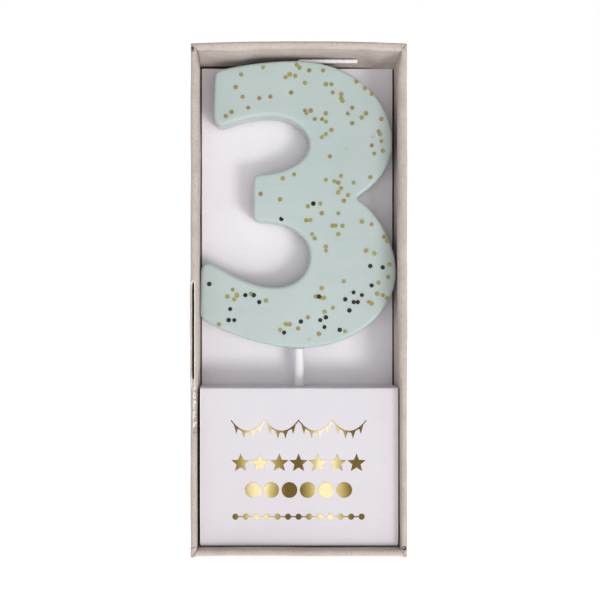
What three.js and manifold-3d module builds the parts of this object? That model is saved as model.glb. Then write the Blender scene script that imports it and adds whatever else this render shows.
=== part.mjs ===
// Number birthday candle, a wax figure 3 on a plastic pick, standing in a folded card insert
// inside an open display tray of double-walled board.
// Millimetres. +Z is up along the pick, the tray's open face looks along -Y, and the origin is the
// middle of the face that the tray stands on.
import * as THREE from 'three';
import { mergeVertices } from 'three/addons/utils/BufferGeometryUtils.js';
import Module from 'manifold-3d';

const wasm = await Module();
wasm.setup();

// ---- wax figure ----
const CANDLE_W = 70.8;
const CANDLE_H = 103.6;
const CANDLE_T = 10;
const WAX_EDGE_R = 1.2;
const SOCKET_DEPTH = 12;

// ---- wick ----
const WICK_D = 1.45;
const WICK_RUN = 21.8;
const WICK_ROOT = 8;
const WICK_BEND_R = 1.2;
const WICK_LIFT = 0.15;

// ---- pick ----
const PICK_SHOWN = 14;
const PICK_NECK_D = 3.5;
const PICK_BODY_D = 3.8;
const PICK_NECK = 12;
const PICK_POINT = 14;
const PICK_TIP_D = 1.2;
const PICK_X = 0.5;

// ---- sequins ----
const SEQUIN_D = 1.65;
const SEQUIN_T = 0.1;

// ---- card insert ----
const CARD = 0.4;
const SHELF_H = 56.2;
const LABEL_CORNER_R = 1;
const GLUE_FLAP = 14;
const CARD_TOP_DROP = 0.3;

// ---- tray ----
const BOARD = 0.5;
const WALL = 2.15;
const TAB_LENGTH = 20;
const RIM_SLIT_L = 34.9;
const RIM_SLIT_W = 0.5;
const RIM_SLIT_Z = 61.5;

// ---- clearances ----
const FIT = 0.3;
const SIDE_GAP = 0.55;
const WICK_HEADROOM = 0.4;
const CARD_GAP = 0.6;
const BEHIND_CANDLE = 2;
const BEHIND_CARD = 0.1;
const SHELF_FRONT = 5.6;
const LABEL_RECESS = 4.4;
const MITRE_GAP = 0.15;

// ---- foil ornament on the label ----
const FOIL_T = 0.1;
const GARLAND_W = 48;
const GARLAND_RISE = 16.2;
const GARLAND_SAG = 4;
const GARLAND_SWAGS = 4;
const STRING_T = 0.7;
const STARS = 7;
const STAR_ROW_W = 48;
const STAR_ROW_RISE = 1.3;
const STAR_D = 6.9;
const DOTS = 6;
const DOT_ROW_W = 38;
const DOT_ROW_RISE = -8.2;
const DOT_D = 5.6;
const BEAD_LINE_W = 47;
const BEAD_LINE_RISE = -17.7;
const BEAD_D = 2.2;
const BEADS = 13;

// ---- levels and widths that follow from the sizes above ----
const innerW = CANDLE_W + 2 * SIDE_GAP;
const trayW = innerW + 2 * WALL;
const insertBottom = WALL + CARD_GAP;
const insertW = innerW - 2 * CARD_GAP;
const insertFloor = insertBottom + CARD;
const shelfTop = insertBottom + SHELF_H;
const labelMid = insertBottom + SHELF_H / 2;
const waxBottom = shelfTop + PICK_SHOWN;
const waxTop = waxBottom + CANDLE_H;
const pickBottom = insertFloor + FIT;
const trayH = waxTop + WICK_LIFT + WICK_D + WICK_HEADROOM + WALL;
const cardTop = waxTop - CARD_TOP_DROP;

const labelY = 0;
const waxFrontY = labelY + SHELF_FRONT;
const waxMidY = waxFrontY + CANDLE_T / 2;
const cardFrontY = waxFrontY + CANDLE_T + BEHIND_CANDLE;
const baseY = cardFrontY + CARD + BEHIND_CARD;
const rimY = labelY - LABEL_RECESS;
const backY = baseY + BOARD;

// ---- colours ----
const WAX = 0xbfd2cc;
const WICK_WHITE = 0xf3f0ee;
const PICK_WHITE = 0xf0eef2;
const GOLD = 0xc2a55a;
const BOARD_BEIGE = 0xbfb3aa;
const CARD_WHITE = 0xe6e2e8;

// The tray's middle in Y goes to the origin.
const object = new THREE.Group();
object.position.y = -(rimY + backY) / 2;

function add(name, geometry, color, roughness, metalness = 0) {
  const mesh = new THREE.Mesh(geometry, new THREE.MeshStandardMaterial({ color, roughness, metalness }));
  mesh.name = name;
  object.add(mesh);
  return mesh;
}

// ---- solids ----
function toSolid(geometry) {
  const bare = geometry.clone();
  bare.deleteAttribute('normal');
  bare.deleteAttribute('uv');
  const merged = mergeVertices(bare, 1e-4);
  return new wasm.Manifold(new wasm.Mesh({
    numProp: 3,
    vertProperties: new Float32Array(merged.attributes.position.array),
    triVerts: new Uint32Array(merged.index.array),
  }));
}

function toGeometry(solid) {
  const mesh = solid.getMesh();
  const geometry = new THREE.BufferGeometry();
  geometry.setAttribute('position', new THREE.BufferAttribute(mesh.vertProperties, 3));
  geometry.setIndex(new THREE.BufferAttribute(mesh.triVerts, 1));
  geometry.computeVertexNormals();
  return geometry;
}

// A block given by its two corners.
function block(x0, y0, z0, x1, y1, z1) {
  const box = new THREE.BoxGeometry(x1 - x0, y1 - y0, z1 - z0);
  return box.translate((x0 + x1) / 2, (y0 + y1) / 2, (z0 + z1) / 2);
}

// A shape drawn in the X-Z plane, made thick from frontY back along +Y.
function plate(shape, frontY, thickness, curveSegments = 8) {
  const slab = new THREE.ExtrudeGeometry(shape, { depth: thickness, bevelEnabled: false, curveSegments });
  return slab.rotateX(Math.PI / 2).translate(0, frontY + thickness, 0);
}

function polygon(points) {
  return new THREE.Shape(points.map(([x, z]) => new THREE.Vector2(x, z)));
}

function disc(x, z, diameter) {
  return new THREE.Shape().absarc(x, z, diameter / 2, 0, 2 * Math.PI);
}

// An upright round bar about the line through x and y.
function bar(x, y, z0, z1, radius) {
  const rod = new THREE.CylinderGeometry(radius, radius, z1 - z0, 24);
  return rod.rotateX(Math.PI / 2).translate(x, y, (z0 + z1) / 2);
}

// ---- tray ----
// A wall is one strip of board rolled over at the rim, so its section is a U that is open at the base.
// Its own x runs in from the outer face, y from the rim to the base and z along the wall.
function rolledWall(length) {
  const depth = baseY - rimY;
  const outer = WALL / 2;
  const inner = outer - BOARD;
  const section = new THREE.Shape();
  section.moveTo(0, depth);
  section.lineTo(0, outer);
  section.absarc(outer, outer, outer, Math.PI, 2 * Math.PI);
  section.lineTo(WALL, depth);
  section.lineTo(WALL - BOARD, depth);
  section.absarc(outer, outer, inner, 2 * Math.PI, Math.PI, true);
  section.lineTo(BOARD, depth);
  section.closePath();
  const strip = new THREE.ExtrudeGeometry(section, { depth: length, bevelEnabled: false, curveSegments: 8 });
  return strip.translate(0, rimY, -length / 2);
}

// The wedge that a wall keeps to at its mitred corners. Corner is half the wall's outer length.
function mitreWedge(corner) {
  const reach = 2 * WALL;
  const over = 1;
  const foot = corner - MITRE_GAP;
  const wedge = new THREE.Shape();
  wedge.moveTo(-over, -foot - over);
  wedge.lineTo(reach, -foot + reach);
  wedge.lineTo(reach, foot - reach);
  wedge.lineTo(-over, foot + over);
  wedge.closePath();
  const prism = new THREE.ExtrudeGeometry(wedge, { depth: backY - rimY + 2 * over, bevelEnabled: false });
  return prism.rotateX(Math.PI / 2).translate(0, backY + over, 0);
}

function mitredWall(length, cut = null) {
  let wall = toSolid(rolledWall(length)).intersect(toSolid(mitreWedge(length / 2)));
  if (cut) {
    wall = wall.subtract(toSolid(cut));
  }
  return toGeometry(wall);
}

const rimSlit = block(
  WALL / 2 - RIM_SLIT_W / 2, rimY - 1, RIM_SLIT_Z - trayH / 2,
  WALL / 2 + RIM_SLIT_W / 2, rimY + WALL / 2, RIM_SLIT_Z + RIM_SLIT_L - trayH / 2,
);

const leftWall = add('tray_left_wall', mitredWall(trayH, rimSlit), BOARD_BEIGE, 0.9);
leftWall.position.set(-trayW / 2, 0, trayH / 2);

const rightWall = add('tray_right_wall', mitredWall(trayH), BOARD_BEIGE, 0.9);
rightWall.position.set(trayW / 2, 0, trayH / 2);
rightWall.rotation.y = Math.PI;

const bottomWall = add('tray_bottom_wall', mitredWall(trayW), BOARD_BEIGE, 0.9);
bottomWall.rotation.y = -Math.PI / 2;

const topWall = add('tray_top_wall', mitredWall(trayW), BOARD_BEIGE, 0.9);
topWall.position.set(0, 0, trayH);
topWall.rotation.y = Math.PI / 2;

add('tray_back', block(-trayW / 2, baseY, 0, trayW / 2, backY, trayH), BOARD_BEIGE, 0.9);

// A glue tab lies in each corner, between the skins of the side wall.
const tabT = WALL - 2 * BOARD - 2 * FIT;
for (const [side, sx] of [['left', -1], ['right', 1]]) {
  for (const [end, z0] of [['bottom', WALL], ['top', trayH - WALL - TAB_LENGTH]]) {
    const outerX = sx * (trayW / 2 - BOARD - FIT);
    const innerX = outerX - sx * tabT;
    const tab = block(
      Math.min(outerX, innerX), rimY + WALL / 2 + FIT, z0,
      Math.max(outerX, innerX), baseY - FIT, z0 + TAB_LENGTH,
    );
    add(`tray_${end}_${side}_tab`, tab, BOARD_BEIGE, 0.9);
  }
}

// ---- card insert ----
// One sheet: up behind the candle, forward under the label, up as the label, back as the shelf,
// and down as the flap that is glued to the back panel.
const halfCard = insertW / 2;
const panel = (name, geometry) => add(`insert_${name}`, geometry, CARD_WHITE, 0.7);
const cardBlock = (y0, z0, y1, z1) => block(-halfCard, y0, z0, halfCard, y1, z1);

panel('back_panel', cardBlock(cardFrontY, insertBottom, cardFrontY + CARD, cardTop));
panel('bottom_panel', cardBlock(labelY + CARD, insertBottom, cardFrontY, insertFloor));
panel('glue_flap', cardBlock(cardFrontY - CARD, shelfTop - CARD - GLUE_FLAP, cardFrontY, shelfTop - CARD));

const shelfSlab = cardBlock(labelY + CARD, shelfTop - CARD, cardFrontY, shelfTop);
const pickHole = bar(PICK_X, waxMidY, shelfTop - CARD - 1, shelfTop + 1, PICK_BODY_D / 2 + FIT);
panel('shelf_panel', toGeometry(toSolid(shelfSlab).subtract(toSolid(pickHole))));

const cornerX = halfCard - LABEL_CORNER_R;
const cornerZ = insertBottom + LABEL_CORNER_R;
const label = new THREE.Shape();
label.moveTo(-halfCard, shelfTop);
label.lineTo(-halfCard, cornerZ);
label.absarc(-cornerX, cornerZ, LABEL_CORNER_R, Math.PI, 1.5 * Math.PI);
label.absarc(cornerX, cornerZ, LABEL_CORNER_R, 1.5 * Math.PI, 2 * Math.PI);
label.lineTo(halfCard, shelfTop);
label.closePath();
panel('label_panel', plate(label, labelY, CARD));

// ---- foil ornament ----
const foil = (name, geometry) => add(name, geometry, GOLD, 0.3, 0.9);
const foilPlate = (shape, curveSegments = 12) => plate(shape, labelY - FOIL_T, FOIL_T, curveSegments);

// A string that hangs in even swags, drawn as one ribbon.
function garland() {
  const top = labelMid + GARLAND_RISE;
  const swag = GARLAND_W / GARLAND_SWAGS;
  const left = -GARLAND_W / 2;
  const ribbon = new THREE.Shape();
  ribbon.moveTo(left, top);
  for (let i = 0; i < GARLAND_SWAGS; i += 1) {
    const x = left + i * swag;
    ribbon.quadraticCurveTo(x + swag / 2, top - 2 * GARLAND_SAG, x + swag, top);
  }
  ribbon.lineTo(-left, top + STRING_T);
  for (let i = GARLAND_SWAGS - 1; i >= 0; i -= 1) {
    const x = left + i * swag;
    ribbon.quadraticCurveTo(x + swag / 2, top + 2 * STRING_T - 2 * GARLAND_SAG, x, top + STRING_T);
  }
  ribbon.closePath();
  return ribbon;
}
foil('foil_garland', foilPlate(garland()));

function star(x, z, diameter) {
  const points = [];
  for (let i = 0; i < 10; i += 1) {
    const r = diameter * (i % 2 ? 0.22 : 0.5);
    const a = Math.PI / 2 + i * Math.PI / 5;
    points.push([x + r * Math.cos(a), z + r * Math.sin(a)]);
  }
  return polygon(points);
}

// Even places across a row of the given overall width.
function rowPlaces(count, width, size) {
  return Array.from({ length: count }, (_, i) => -width / 2 + size / 2 + i * (width - size) / (count - 1));
}

rowPlaces(STARS, STAR_ROW_W, STAR_D).forEach((x, i) => {
  foil(`foil_star_${i + 1}`, foilPlate(star(x, labelMid + STAR_ROW_RISE, STAR_D)));
});
rowPlaces(DOTS, DOT_ROW_W, DOT_D).forEach((x, i) => {
  foil(`foil_dot_${i + 1}`, foilPlate(disc(x, labelMid + DOT_ROW_RISE, DOT_D)));
});

// Small beads on a thin line.
function beadLine() {
  const z = labelMid + BEAD_LINE_RISE;
  const half = BEAD_LINE_W / 2 - BEAD_D / 2;
  let line = toSolid(block(-half, labelY - FOIL_T, z - STRING_T / 4, half, labelY, z + STRING_T / 4));
  for (const x of rowPlaces(BEADS, BEAD_LINE_W, BEAD_D)) {
    line = line.add(toSolid(foilPlate(disc(x, z, BEAD_D), 8)));
  }
  return toGeometry(line);
}
foil('foil_bead_line', beadLine());

// ---- wax figure ----
// The figure is drawn on a field this wide and high, with its foot at 0, and scaled to the candle.
const DRAWN_W = 70.8;
const DRAWN_H = 103.6;
const figureX = (x) => x * CANDLE_W / DRAWN_W;
const figureZ = (z) => z * CANDLE_H / DRAWN_H;

function figureThree() {
  const shape = new THREE.Shape();
  const to = (x, z) => shape.lineTo(figureX(x), figureZ(z));
  const round = (cx, cz, x, z) => shape.quadraticCurveTo(figureX(cx), figureZ(cz), figureX(x), figureZ(z));
  const sweep = (ax, az, bx, bz, x, z) => shape.bezierCurveTo(
    figureX(ax), figureZ(az), figureX(bx), figureZ(bz), figureX(x), figureZ(z),
  );
  shape.moveTo(figureX(-30.2), figureZ(97.6));
  round(-30.1, 99.9, -27.9, 100.4);
  // upper bowl, from the arm over the crown and down to the waist
  sweep(-19.3, 102.4, -10.2, 103.6, -0.7, 103.6);
  sweep(18.8, 103.6, 34.1, 90.4, 34.1, 74.3);
  sweep(34.1, 66.5, 29.8, 60, 21.6, 54.5);
  // lower bowl
  to(21.6, 53.6);
  sweep(28.1, 49.8, 35.4, 38.5, 35.4, 27.3);
  sweep(35.4, 13.1, 20.5, 0, 1.4, 0);
  sweep(-11.2, 0, -24.2, 4.4, -33.2, 9.3);
  round(-35.4, 10.6, -35.4, 13.2);
  // tip of the lower arm
  to(-35.1, 26.8);
  sweep(-35, 30.2, -33.6, 31.4, -30.8, 30.1);
  // lower counter
  sweep(-25.9, 27.7, -17.7, 21.9, -8.7, 21.9);
  sweep(-1, 21.9, 4.3, 26.5, 4.3, 33.5);
  sweep(4.3, 40.1, -2.7, 45.6, -13.4, 45.6);
  // end of the middle arm
  round(-16.3, 45.6, -16.3, 48.2);
  to(-16.2, 60);
  round(-16.2, 62.5, -13.9, 62.6);
  // upper counter
  sweep(-6.7, 63, 4.1, 66.2, 4.1, 73.6);
  sweep(4.1, 79.6, -2.8, 83.7, -10.2, 83.7);
  sweep(-15.7, 83.7, -21.7, 82.2, -26.4, 80.4);
  // tip of the upper arm
  round(-29.9, 79.1, -30.7, 83.5);
  shape.closePath();
  return shape;
}

const waxSlab = new THREE.ExtrudeGeometry(figureThree(), {
  depth: CANDLE_T - 2 * WAX_EDGE_R,
  bevelThickness: WAX_EDGE_R,
  bevelSize: WAX_EDGE_R,
  bevelOffset: -WAX_EDGE_R,
  bevelSegments: 3,
  curveSegments: 10,
}).rotateX(Math.PI / 2).translate(0, waxFrontY + CANDLE_T - WAX_EDGE_R, waxBottom);

const wickX = figureX(0);
const socket = bar(PICK_X, waxMidY, waxBottom - 1, waxBottom + SOCKET_DEPTH + FIT, PICK_NECK_D / 2 + FIT);
const wickHole = bar(wickX, waxMidY, waxTop - WICK_ROOT - FIT, waxTop + 1, WICK_D / 2 + FIT);
const wax = toSolid(waxSlab).subtract(toSolid(socket)).subtract(toSolid(wickHole));
add('wax_figure', toGeometry(wax), WAX, 0.45);

// ---- wick ----
// Its root stands in the wax and the rest is bent over to the right, just above the crown.
const runZ = waxTop + WICK_LIFT + WICK_D / 2;
const wickPath = new THREE.CurvePath();
wickPath.add(new THREE.LineCurve3(
  new THREE.Vector3(wickX, waxMidY, waxTop - WICK_ROOT),
  new THREE.Vector3(wickX, waxMidY, runZ - WICK_BEND_R),
));
wickPath.add(new THREE.QuadraticBezierCurve3(
  new THREE.Vector3(wickX, waxMidY, runZ - WICK_BEND_R),
  new THREE.Vector3(wickX, waxMidY, runZ),
  new THREE.Vector3(wickX + WICK_BEND_R, waxMidY, runZ),
));
wickPath.add(new THREE.LineCurve3(
  new THREE.Vector3(wickX + WICK_BEND_R, waxMidY, runZ),
  new THREE.Vector3(wickX + WICK_RUN, waxMidY, runZ),
));
const wick = new THREE.ExtrudeGeometry(disc(0, 0, WICK_D), {
  extrudePath: wickPath,
  steps: 60,
  curveSegments: 5,
});
add('wick', wick, WICK_WHITE, 0.9);

// ---- pick ----
// A tapered neck goes up into the wax, and a point stands on the insert's floor.
const pickProfile = [
  [0, pickBottom],
  [PICK_TIP_D / 2, pickBottom],
  [PICK_BODY_D / 2, pickBottom + PICK_POINT],
  [PICK_BODY_D / 2, waxBottom - PICK_NECK],
  [PICK_NECK_D / 2, waxBottom],
  [PICK_NECK_D / 2, waxBottom + SOCKET_DEPTH],
  [0, waxBottom + SOCKET_DEPTH],
].map(([r, z]) => new THREE.Vector2(r, z));
const pick = new THREE.LatheGeometry(pickProfile, 24).rotateX(Math.PI / 2);
add('pick', pick.translate(PICK_X, waxMidY, 0), PICK_WHITE, 0.35);

// ---- sequins pressed flat into the front face, as [x, z] on the figure's drawing ----
const SEQUINS = [
  [-12.5, 101], [0.5, 101], [9, 100], [-22.5, 94], [-2.5, 92], [12, 95],
  [-18, 86.5], [2.5, 85.5], [19.5, 86.5], [29, 78], [12, 78.5], [26.5, 73],
  [11.5, 69], [-5.5, 61], [20, 59.5], [8, 52], [14.5, 48.5], [-13.5, 55.5],
  [23, 45.5], [10, 36.5], [16.5, 24], [-23.5, 21], [3.5, 11], [17, 6],
];
SEQUINS.forEach(([x, z], i) => {
  const spot = disc(figureX(x), waxBottom + figureZ(z), SEQUIN_D);
  foil(`sequin_${i + 1}`, plate(spot, waxFrontY - SEQUIN_T, SEQUIN_T, 6));
});

export default object;
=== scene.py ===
# Number birthday candle, a wax figure 3 on a plastic pick, in a folded card insert and an open board tray.
import math
import random

import bmesh
import bpy
import numpy as np
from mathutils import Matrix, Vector, geometry, noise


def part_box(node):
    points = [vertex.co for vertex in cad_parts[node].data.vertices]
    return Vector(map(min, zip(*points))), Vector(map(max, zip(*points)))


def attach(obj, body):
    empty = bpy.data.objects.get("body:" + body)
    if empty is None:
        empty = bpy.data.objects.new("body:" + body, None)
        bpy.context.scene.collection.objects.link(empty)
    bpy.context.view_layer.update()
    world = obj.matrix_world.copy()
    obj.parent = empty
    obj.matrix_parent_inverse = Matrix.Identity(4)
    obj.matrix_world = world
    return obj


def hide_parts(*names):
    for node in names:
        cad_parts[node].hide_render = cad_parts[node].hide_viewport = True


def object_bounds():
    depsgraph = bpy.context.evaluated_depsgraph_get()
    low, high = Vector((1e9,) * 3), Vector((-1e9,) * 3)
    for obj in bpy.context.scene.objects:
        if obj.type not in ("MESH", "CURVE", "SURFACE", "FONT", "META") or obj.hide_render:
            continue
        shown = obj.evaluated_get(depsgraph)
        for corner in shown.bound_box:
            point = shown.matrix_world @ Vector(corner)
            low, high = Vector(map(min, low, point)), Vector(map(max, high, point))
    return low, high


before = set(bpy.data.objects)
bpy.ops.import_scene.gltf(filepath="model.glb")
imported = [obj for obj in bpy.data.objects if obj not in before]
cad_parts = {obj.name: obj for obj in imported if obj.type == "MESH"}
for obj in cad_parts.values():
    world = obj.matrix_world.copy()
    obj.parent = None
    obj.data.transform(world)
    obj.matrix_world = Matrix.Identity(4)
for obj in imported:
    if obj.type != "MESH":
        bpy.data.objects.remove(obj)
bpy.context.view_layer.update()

# Everything below is worked out in millimetres and turned into metres when a mesh is made.
MM = 0.001
scene = bpy.context.scene


def box_mm(node):
    lo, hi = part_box(node)
    return [c / MM for c in lo], [c / MM for c in hi]


def smooth(a, b, t):
    t = min(1.0, max(0.0, (t - a) / (b - a)))
    return t * t * (3 - 2 * t)


def bell(distance, width):
    return math.exp(-((distance / width) ** 2))


def rough(x, y, z, size, seed=0.0):
    return noise.noise(Vector((x / size + seed, y / size - seed, z / size + 2 * seed)))


# ---- places taken from the frame ----
(tray_l, base_y, tray_z0), (tray_r, back_y, tray_z1) = box_mm("tray_back")
rim_y = box_mm("tray_left_wall")[0][1]
WALL = box_mm("tray_left_wall")[1][0] - tray_l
BOARD = back_y - base_y
R_RIM = WALL / 2
DEPTH = base_y - rim_y
mid_z = (tray_z0 + tray_z1) / 2

card_lo, card_hi = box_mm("insert_back_panel")
label_lo, label_hi = box_mm("insert_label_panel")
shelf_hi = box_mm("insert_shelf_panel")[1]
flap_lo, flap_hi = box_mm("insert_glue_flap")
CARD = card_hi[1] - card_lo[1]

wax_lo, wax_hi = box_mm("wax_figure")
wick_lo, wick_hi = box_mm("wick")
pick_lo, pick_hi = box_mm("pick")
PICK_X = (pick_lo[0] + pick_hi[0]) / 2
MID_Y = (wax_lo[1] + wax_hi[1]) / 2

# Small holes at two corners of the rim: x, z, depth and width.
RIM_HOLES = [
    (tray_l + 0.6, tray_z1 - 2.3, 2.2, 0.42),
    (tray_r - 1.1, tray_z0 + 2.9, 2.2, 0.5),
]


# ---- material helpers ----
def new_material(name, colour, roughness, **sockets):
    made = bpy.data.materials.new(name)
    made.use_nodes = True
    shader = made.node_tree.nodes["Principled BSDF"]
    shader.inputs["Base Color"].default_value = (*colour, 1)
    shader.inputs["Roughness"].default_value = roughness
    for socket, value in sockets.items():
        shader.inputs[socket.replace("_", " ")].default_value = value
    made.diffuse_color = (*colour, 1)
    return made


def shader_of(made):
    return made.node_tree.nodes["Principled BSDF"]


def join(made, output, socket):
    made.node_tree.links.new(output, socket)


def set_or_join(made, value, socket):
    if isinstance(value, (int, float)):
        socket.default_value = value
    else:
        join(made, value, socket)


def cloud(made, scale, stretch=(1, 1, 1), detail=3.0, distortion=0.0):
    """Soft noise over the piece's own coordinates."""
    tree = made.node_tree
    coords = tree.nodes.get("coords")
    if coords is None:
        coords = tree.nodes.new("ShaderNodeTexCoord")
        coords.name = "coords"
    mapping = tree.nodes.new("ShaderNodeMapping")
    mapping.inputs["Scale"].default_value = stretch
    tree.links.new(coords.outputs["Object"], mapping.inputs["Vector"])
    node = tree.nodes.new("ShaderNodeTexNoise")
    tree.links.new(mapping.outputs["Vector"], node.inputs["Vector"])
    for socket, value in (("Scale", scale), ("Detail", detail), ("Distortion", distortion)):
        node.inputs[socket].default_value = value
    return node.outputs["Fac"]


def math_node(made, operation, *values):
    node = made.node_tree.nodes.new("ShaderNodeMath")
    node.operation = operation
    for socket, value in zip(node.inputs, values):
        set_or_join(made, value, socket)
    return node.outputs["Value"]


def ramp(made, fac, *stops):
    node = made.node_tree.nodes.new("ShaderNodeValToRGB")
    join(made, fac, node.inputs["Fac"])
    points = node.color_ramp.elements
    while len(points) < len(stops):
        points.new(0.5)
    for point, (at, colour) in zip(points, stops):
        point.position = at
        point.color = (*colour, 1)
    return node.outputs["Color"]


def blend_colours(made, mode, share, first, second):
    node = made.node_tree.nodes.new("ShaderNodeMix")
    node.data_type = "RGBA"
    node.blend_type = mode
    set_or_join(made, share, node.inputs[0])
    join(made, first, node.inputs[6])
    join(made, second, node.inputs[7])
    return node.outputs[2]


def colour_from(made, colour):
    join(made, colour, shader_of(made).inputs["Base Color"])


def roughness_from(made, fac, low, high):
    node = made.node_tree.nodes.new("ShaderNodeMapRange")
    join(made, fac, node.inputs["Value"])
    node.inputs["To Min"].default_value = low
    node.inputs["To Max"].default_value = high
    join(made, node.outputs["Result"], shader_of(made).inputs["Roughness"])


def bump_from(made, *layers):
    normal = None
    for height, strength, distance in layers:
        node = made.node_tree.nodes.new("ShaderNodeBump")
        node.inputs["Strength"].default_value = strength
        node.inputs["Distance"].default_value = distance * MM
        join(made, height, node.inputs["Height"])
        if normal is not None:
            join(made, normal, node.inputs["Normal"])
        normal = node.outputs["Normal"]
    join(made, normal, shader_of(made).inputs["Normal"])


# ---- materials ----
# Grey-beige board: cloudy pulp, fine short fibres lying every way, scattered darker flecks, and painted
# shade, near black, over the small holes in the rim.
def board_material(name, light, dark, fleck_tone):
    made = new_material(name, light, 0.85, Specular_IOR_Level=0.25)
    pulp = cloud(made, 130, detail=5, distortion=0.6)
    fine = cloud(made, 900, detail=5, distortion=1.6)
    hair = cloud(made, 520, (1.6, 1.6, 0.8), detail=4, distortion=2.6)
    tone = ramp(made, pulp, (0.3, dark), (0.7, light))
    grain = ramp(made, fine, (0.34, (0.86, 0.85, 0.84)), (0.58, (1, 1, 1)))
    flecks = ramp(made, hair, (0.30, (fleck_tone,) * 3), (0.38, (0.97, 0.97, 0.97)), (0.6, (1, 1, 1)))
    colour = blend_colours(made, "MULTIPLY", 0.75, blend_colours(made, "MULTIPLY", 0.8, tone, grain), flecks)
    # Painted shade: near black over each small hole in the rim, fading out round it.
    for x, z, _, width in RIM_HOLES:
        far = made.node_tree.nodes.new("ShaderNodeVectorMath")
        far.operation = "DISTANCE"
        far.inputs[1].default_value = (x * MM, (rim_y + 0.4) * MM, z * MM)
        join(made, made.node_tree.nodes["coords"].outputs["Object"], far.inputs[0])
        reach = math_node(made, "MULTIPLY", far.outputs["Value"], 0.5 / (width * 1.9 * MM))
        hole = ramp(made, reach, (0.32, (0.03, 0.02, 0.02)), (0.5, (1, 1, 1)))
        colour = blend_colours(made, "MULTIPLY", 1.0, colour, hole)
    colour_from(made, colour)
    roughness_from(made, fine, 0.72, 0.95)
    bump_from(made, (pulp, 0.3, 0.25), (hair, 0.3, 0.10), (fine, 0.35, 0.06))
    return made


board = board_material("board_outside", (0.59, 0.515, 0.475), (0.51, 0.44, 0.40), 0.6)
# Painted light: the inner skins take a lighter copy of the same board, as if more light reached them.
board_lit_copy = board_material("lighter_inner_board", (0.70, 0.62, 0.58), (0.60, 0.525, 0.485), 0.62)
torn_paper = board_material("board_torn_edge", (0.95, 0.90, 0.87), (0.84, 0.78, 0.74), 0.85)
# Painted shade: near-black board for the split in the left rim and the gap round the insert, where there is
# only shade.
shade_board = board_material("board_painted_shade", (0.05, 0.04, 0.036), (0.03, 0.024, 0.02), 0.7)

# White card, faintly lilac, with fine tooth and very soft clouding: plain on one side and a darker copy on
# the other, painted shade so the well-lit label panel shows no brighter than the back panel.
def card_material(name, low, high, smoothness):
    made = new_material(name, high, smoothness, Specular_IOR_Level=0.35)
    soft = cloud(made, 60, detail=3)
    tooth = cloud(made, 2200, detail=3)
    laid = cloud(made, 700, (1, 1, 2.2), detail=3, distortion=0.6)
    colour_from(made, blend_colours(
        made, "MULTIPLY", 0.5, ramp(made, soft, (0.3, low), (0.7, high)),
        ramp(made, laid, (0.35, (0.965, 0.96, 0.965)), (0.6, (1, 1, 1))),
    ))
    roughness_from(made, laid, smoothness - 0.1, smoothness + 0.12)
    bump_from(made, (tooth, 0.2, 0.02), (laid, 0.22, 0.05), (soft, 0.3, 0.6))
    return made


card_plain = card_material("card_plain_side", (0.875, 0.84, 0.885), (0.905, 0.87, 0.915), 0.65)
card_shaded_copy = card_material("card_label_side_painted_shade", (0.69, 0.655, 0.70), (0.715, 0.68, 0.725), 0.55)
card_cut = card_material("card_cut_edge", (0.88, 0.87, 0.89), (0.92, 0.91, 0.93), 0.75)

# Pale mint wax: lets light in a little, satin skin, faint clouds and pouring streaks.
wax = new_material(
    "wax_mint", (0.47, 0.55, 0.53), 0.42, Specular_IOR_Level=0.45, Subsurface_Weight=0.55,
    Subsurface_Scale=0.0022, Subsurface_Radius=(0.9, 1.0, 0.95), Coat_Weight=0.3, Coat_Roughness=0.18,
)
wax_cloud = cloud(wax, 45, detail=4, distortion=0.8)
wax_streak = cloud(wax, 90, (0.25, 1, 2.4), detail=3, distortion=0.4)
wax_grain = cloud(wax, 1300, detail=2)
colour_from(wax, blend_colours(
    wax, "MULTIPLY", 0.6,
    ramp(wax, wax_cloud, (0.25, (0.455, 0.535, 0.517)), (0.75, (0.49, 0.57, 0.552))),
    ramp(wax, wax_streak, (0.3, (0.94, 0.95, 0.95)), (0.7, (1, 1, 1))),
))
roughness_from(wax, wax_cloud, 0.34, 0.52)
bump_from(wax, (wax_cloud, 0.25, 0.5), (wax_streak, 0.15, 0.25), (wax_grain, 0.12, 0.02))

# White moulded plastic with faint draw marks along its length.
plastic = new_material("pick_plastic", (0.86, 0.85, 0.87), 0.3, Subsurface_Weight=0.15,
                       Subsurface_Scale=0.001)
draw = cloud(plastic, 900, (2.4, 2.4, 0.06), detail=3)
fleck = cloud(plastic, 1800, detail=2)
colour_from(plastic, ramp(plastic, draw, (0.3, (0.80, 0.79, 0.815)), (0.6, (0.88, 0.87, 0.885))))
roughness_from(plastic, fleck, 0.24, 0.42)
bump_from(plastic, (draw, 0.3, 0.05), (fleck, 0.08, 0.01))

# Wax-dipped cotton.
cotton = new_material("wick_cotton", (0.90, 0.88, 0.87), 0.6, Subsurface_Weight=0.2, Subsurface_Scale=0.0008,
                      Sheen_Weight=0.25, Sheen_Roughness=0.5)
yarn = cloud(cotton, 2600, (0.7, 1, 1), detail=4, distortion=1.5)
dip = cloud(cotton, 500, detail=2)
colour_from(cotton, ramp(cotton, yarn, (0.25, (0.82, 0.79, 0.785)), (0.6, (0.94, 0.92, 0.91))))
roughness_from(cotton, dip, 0.4, 0.8)
bump_from(cotton, (yarn, 0.5, 0.06), (dip, 0.3, 0.08))

# Hot-stamped gold foil, grainy, with a painted reflection: broad light and dark bands coloured in along X,
# such as it mirrors.
FOIL_REFLECTION_BAND = 23.5
FOIL_REFLECTION_START = 4.76

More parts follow.
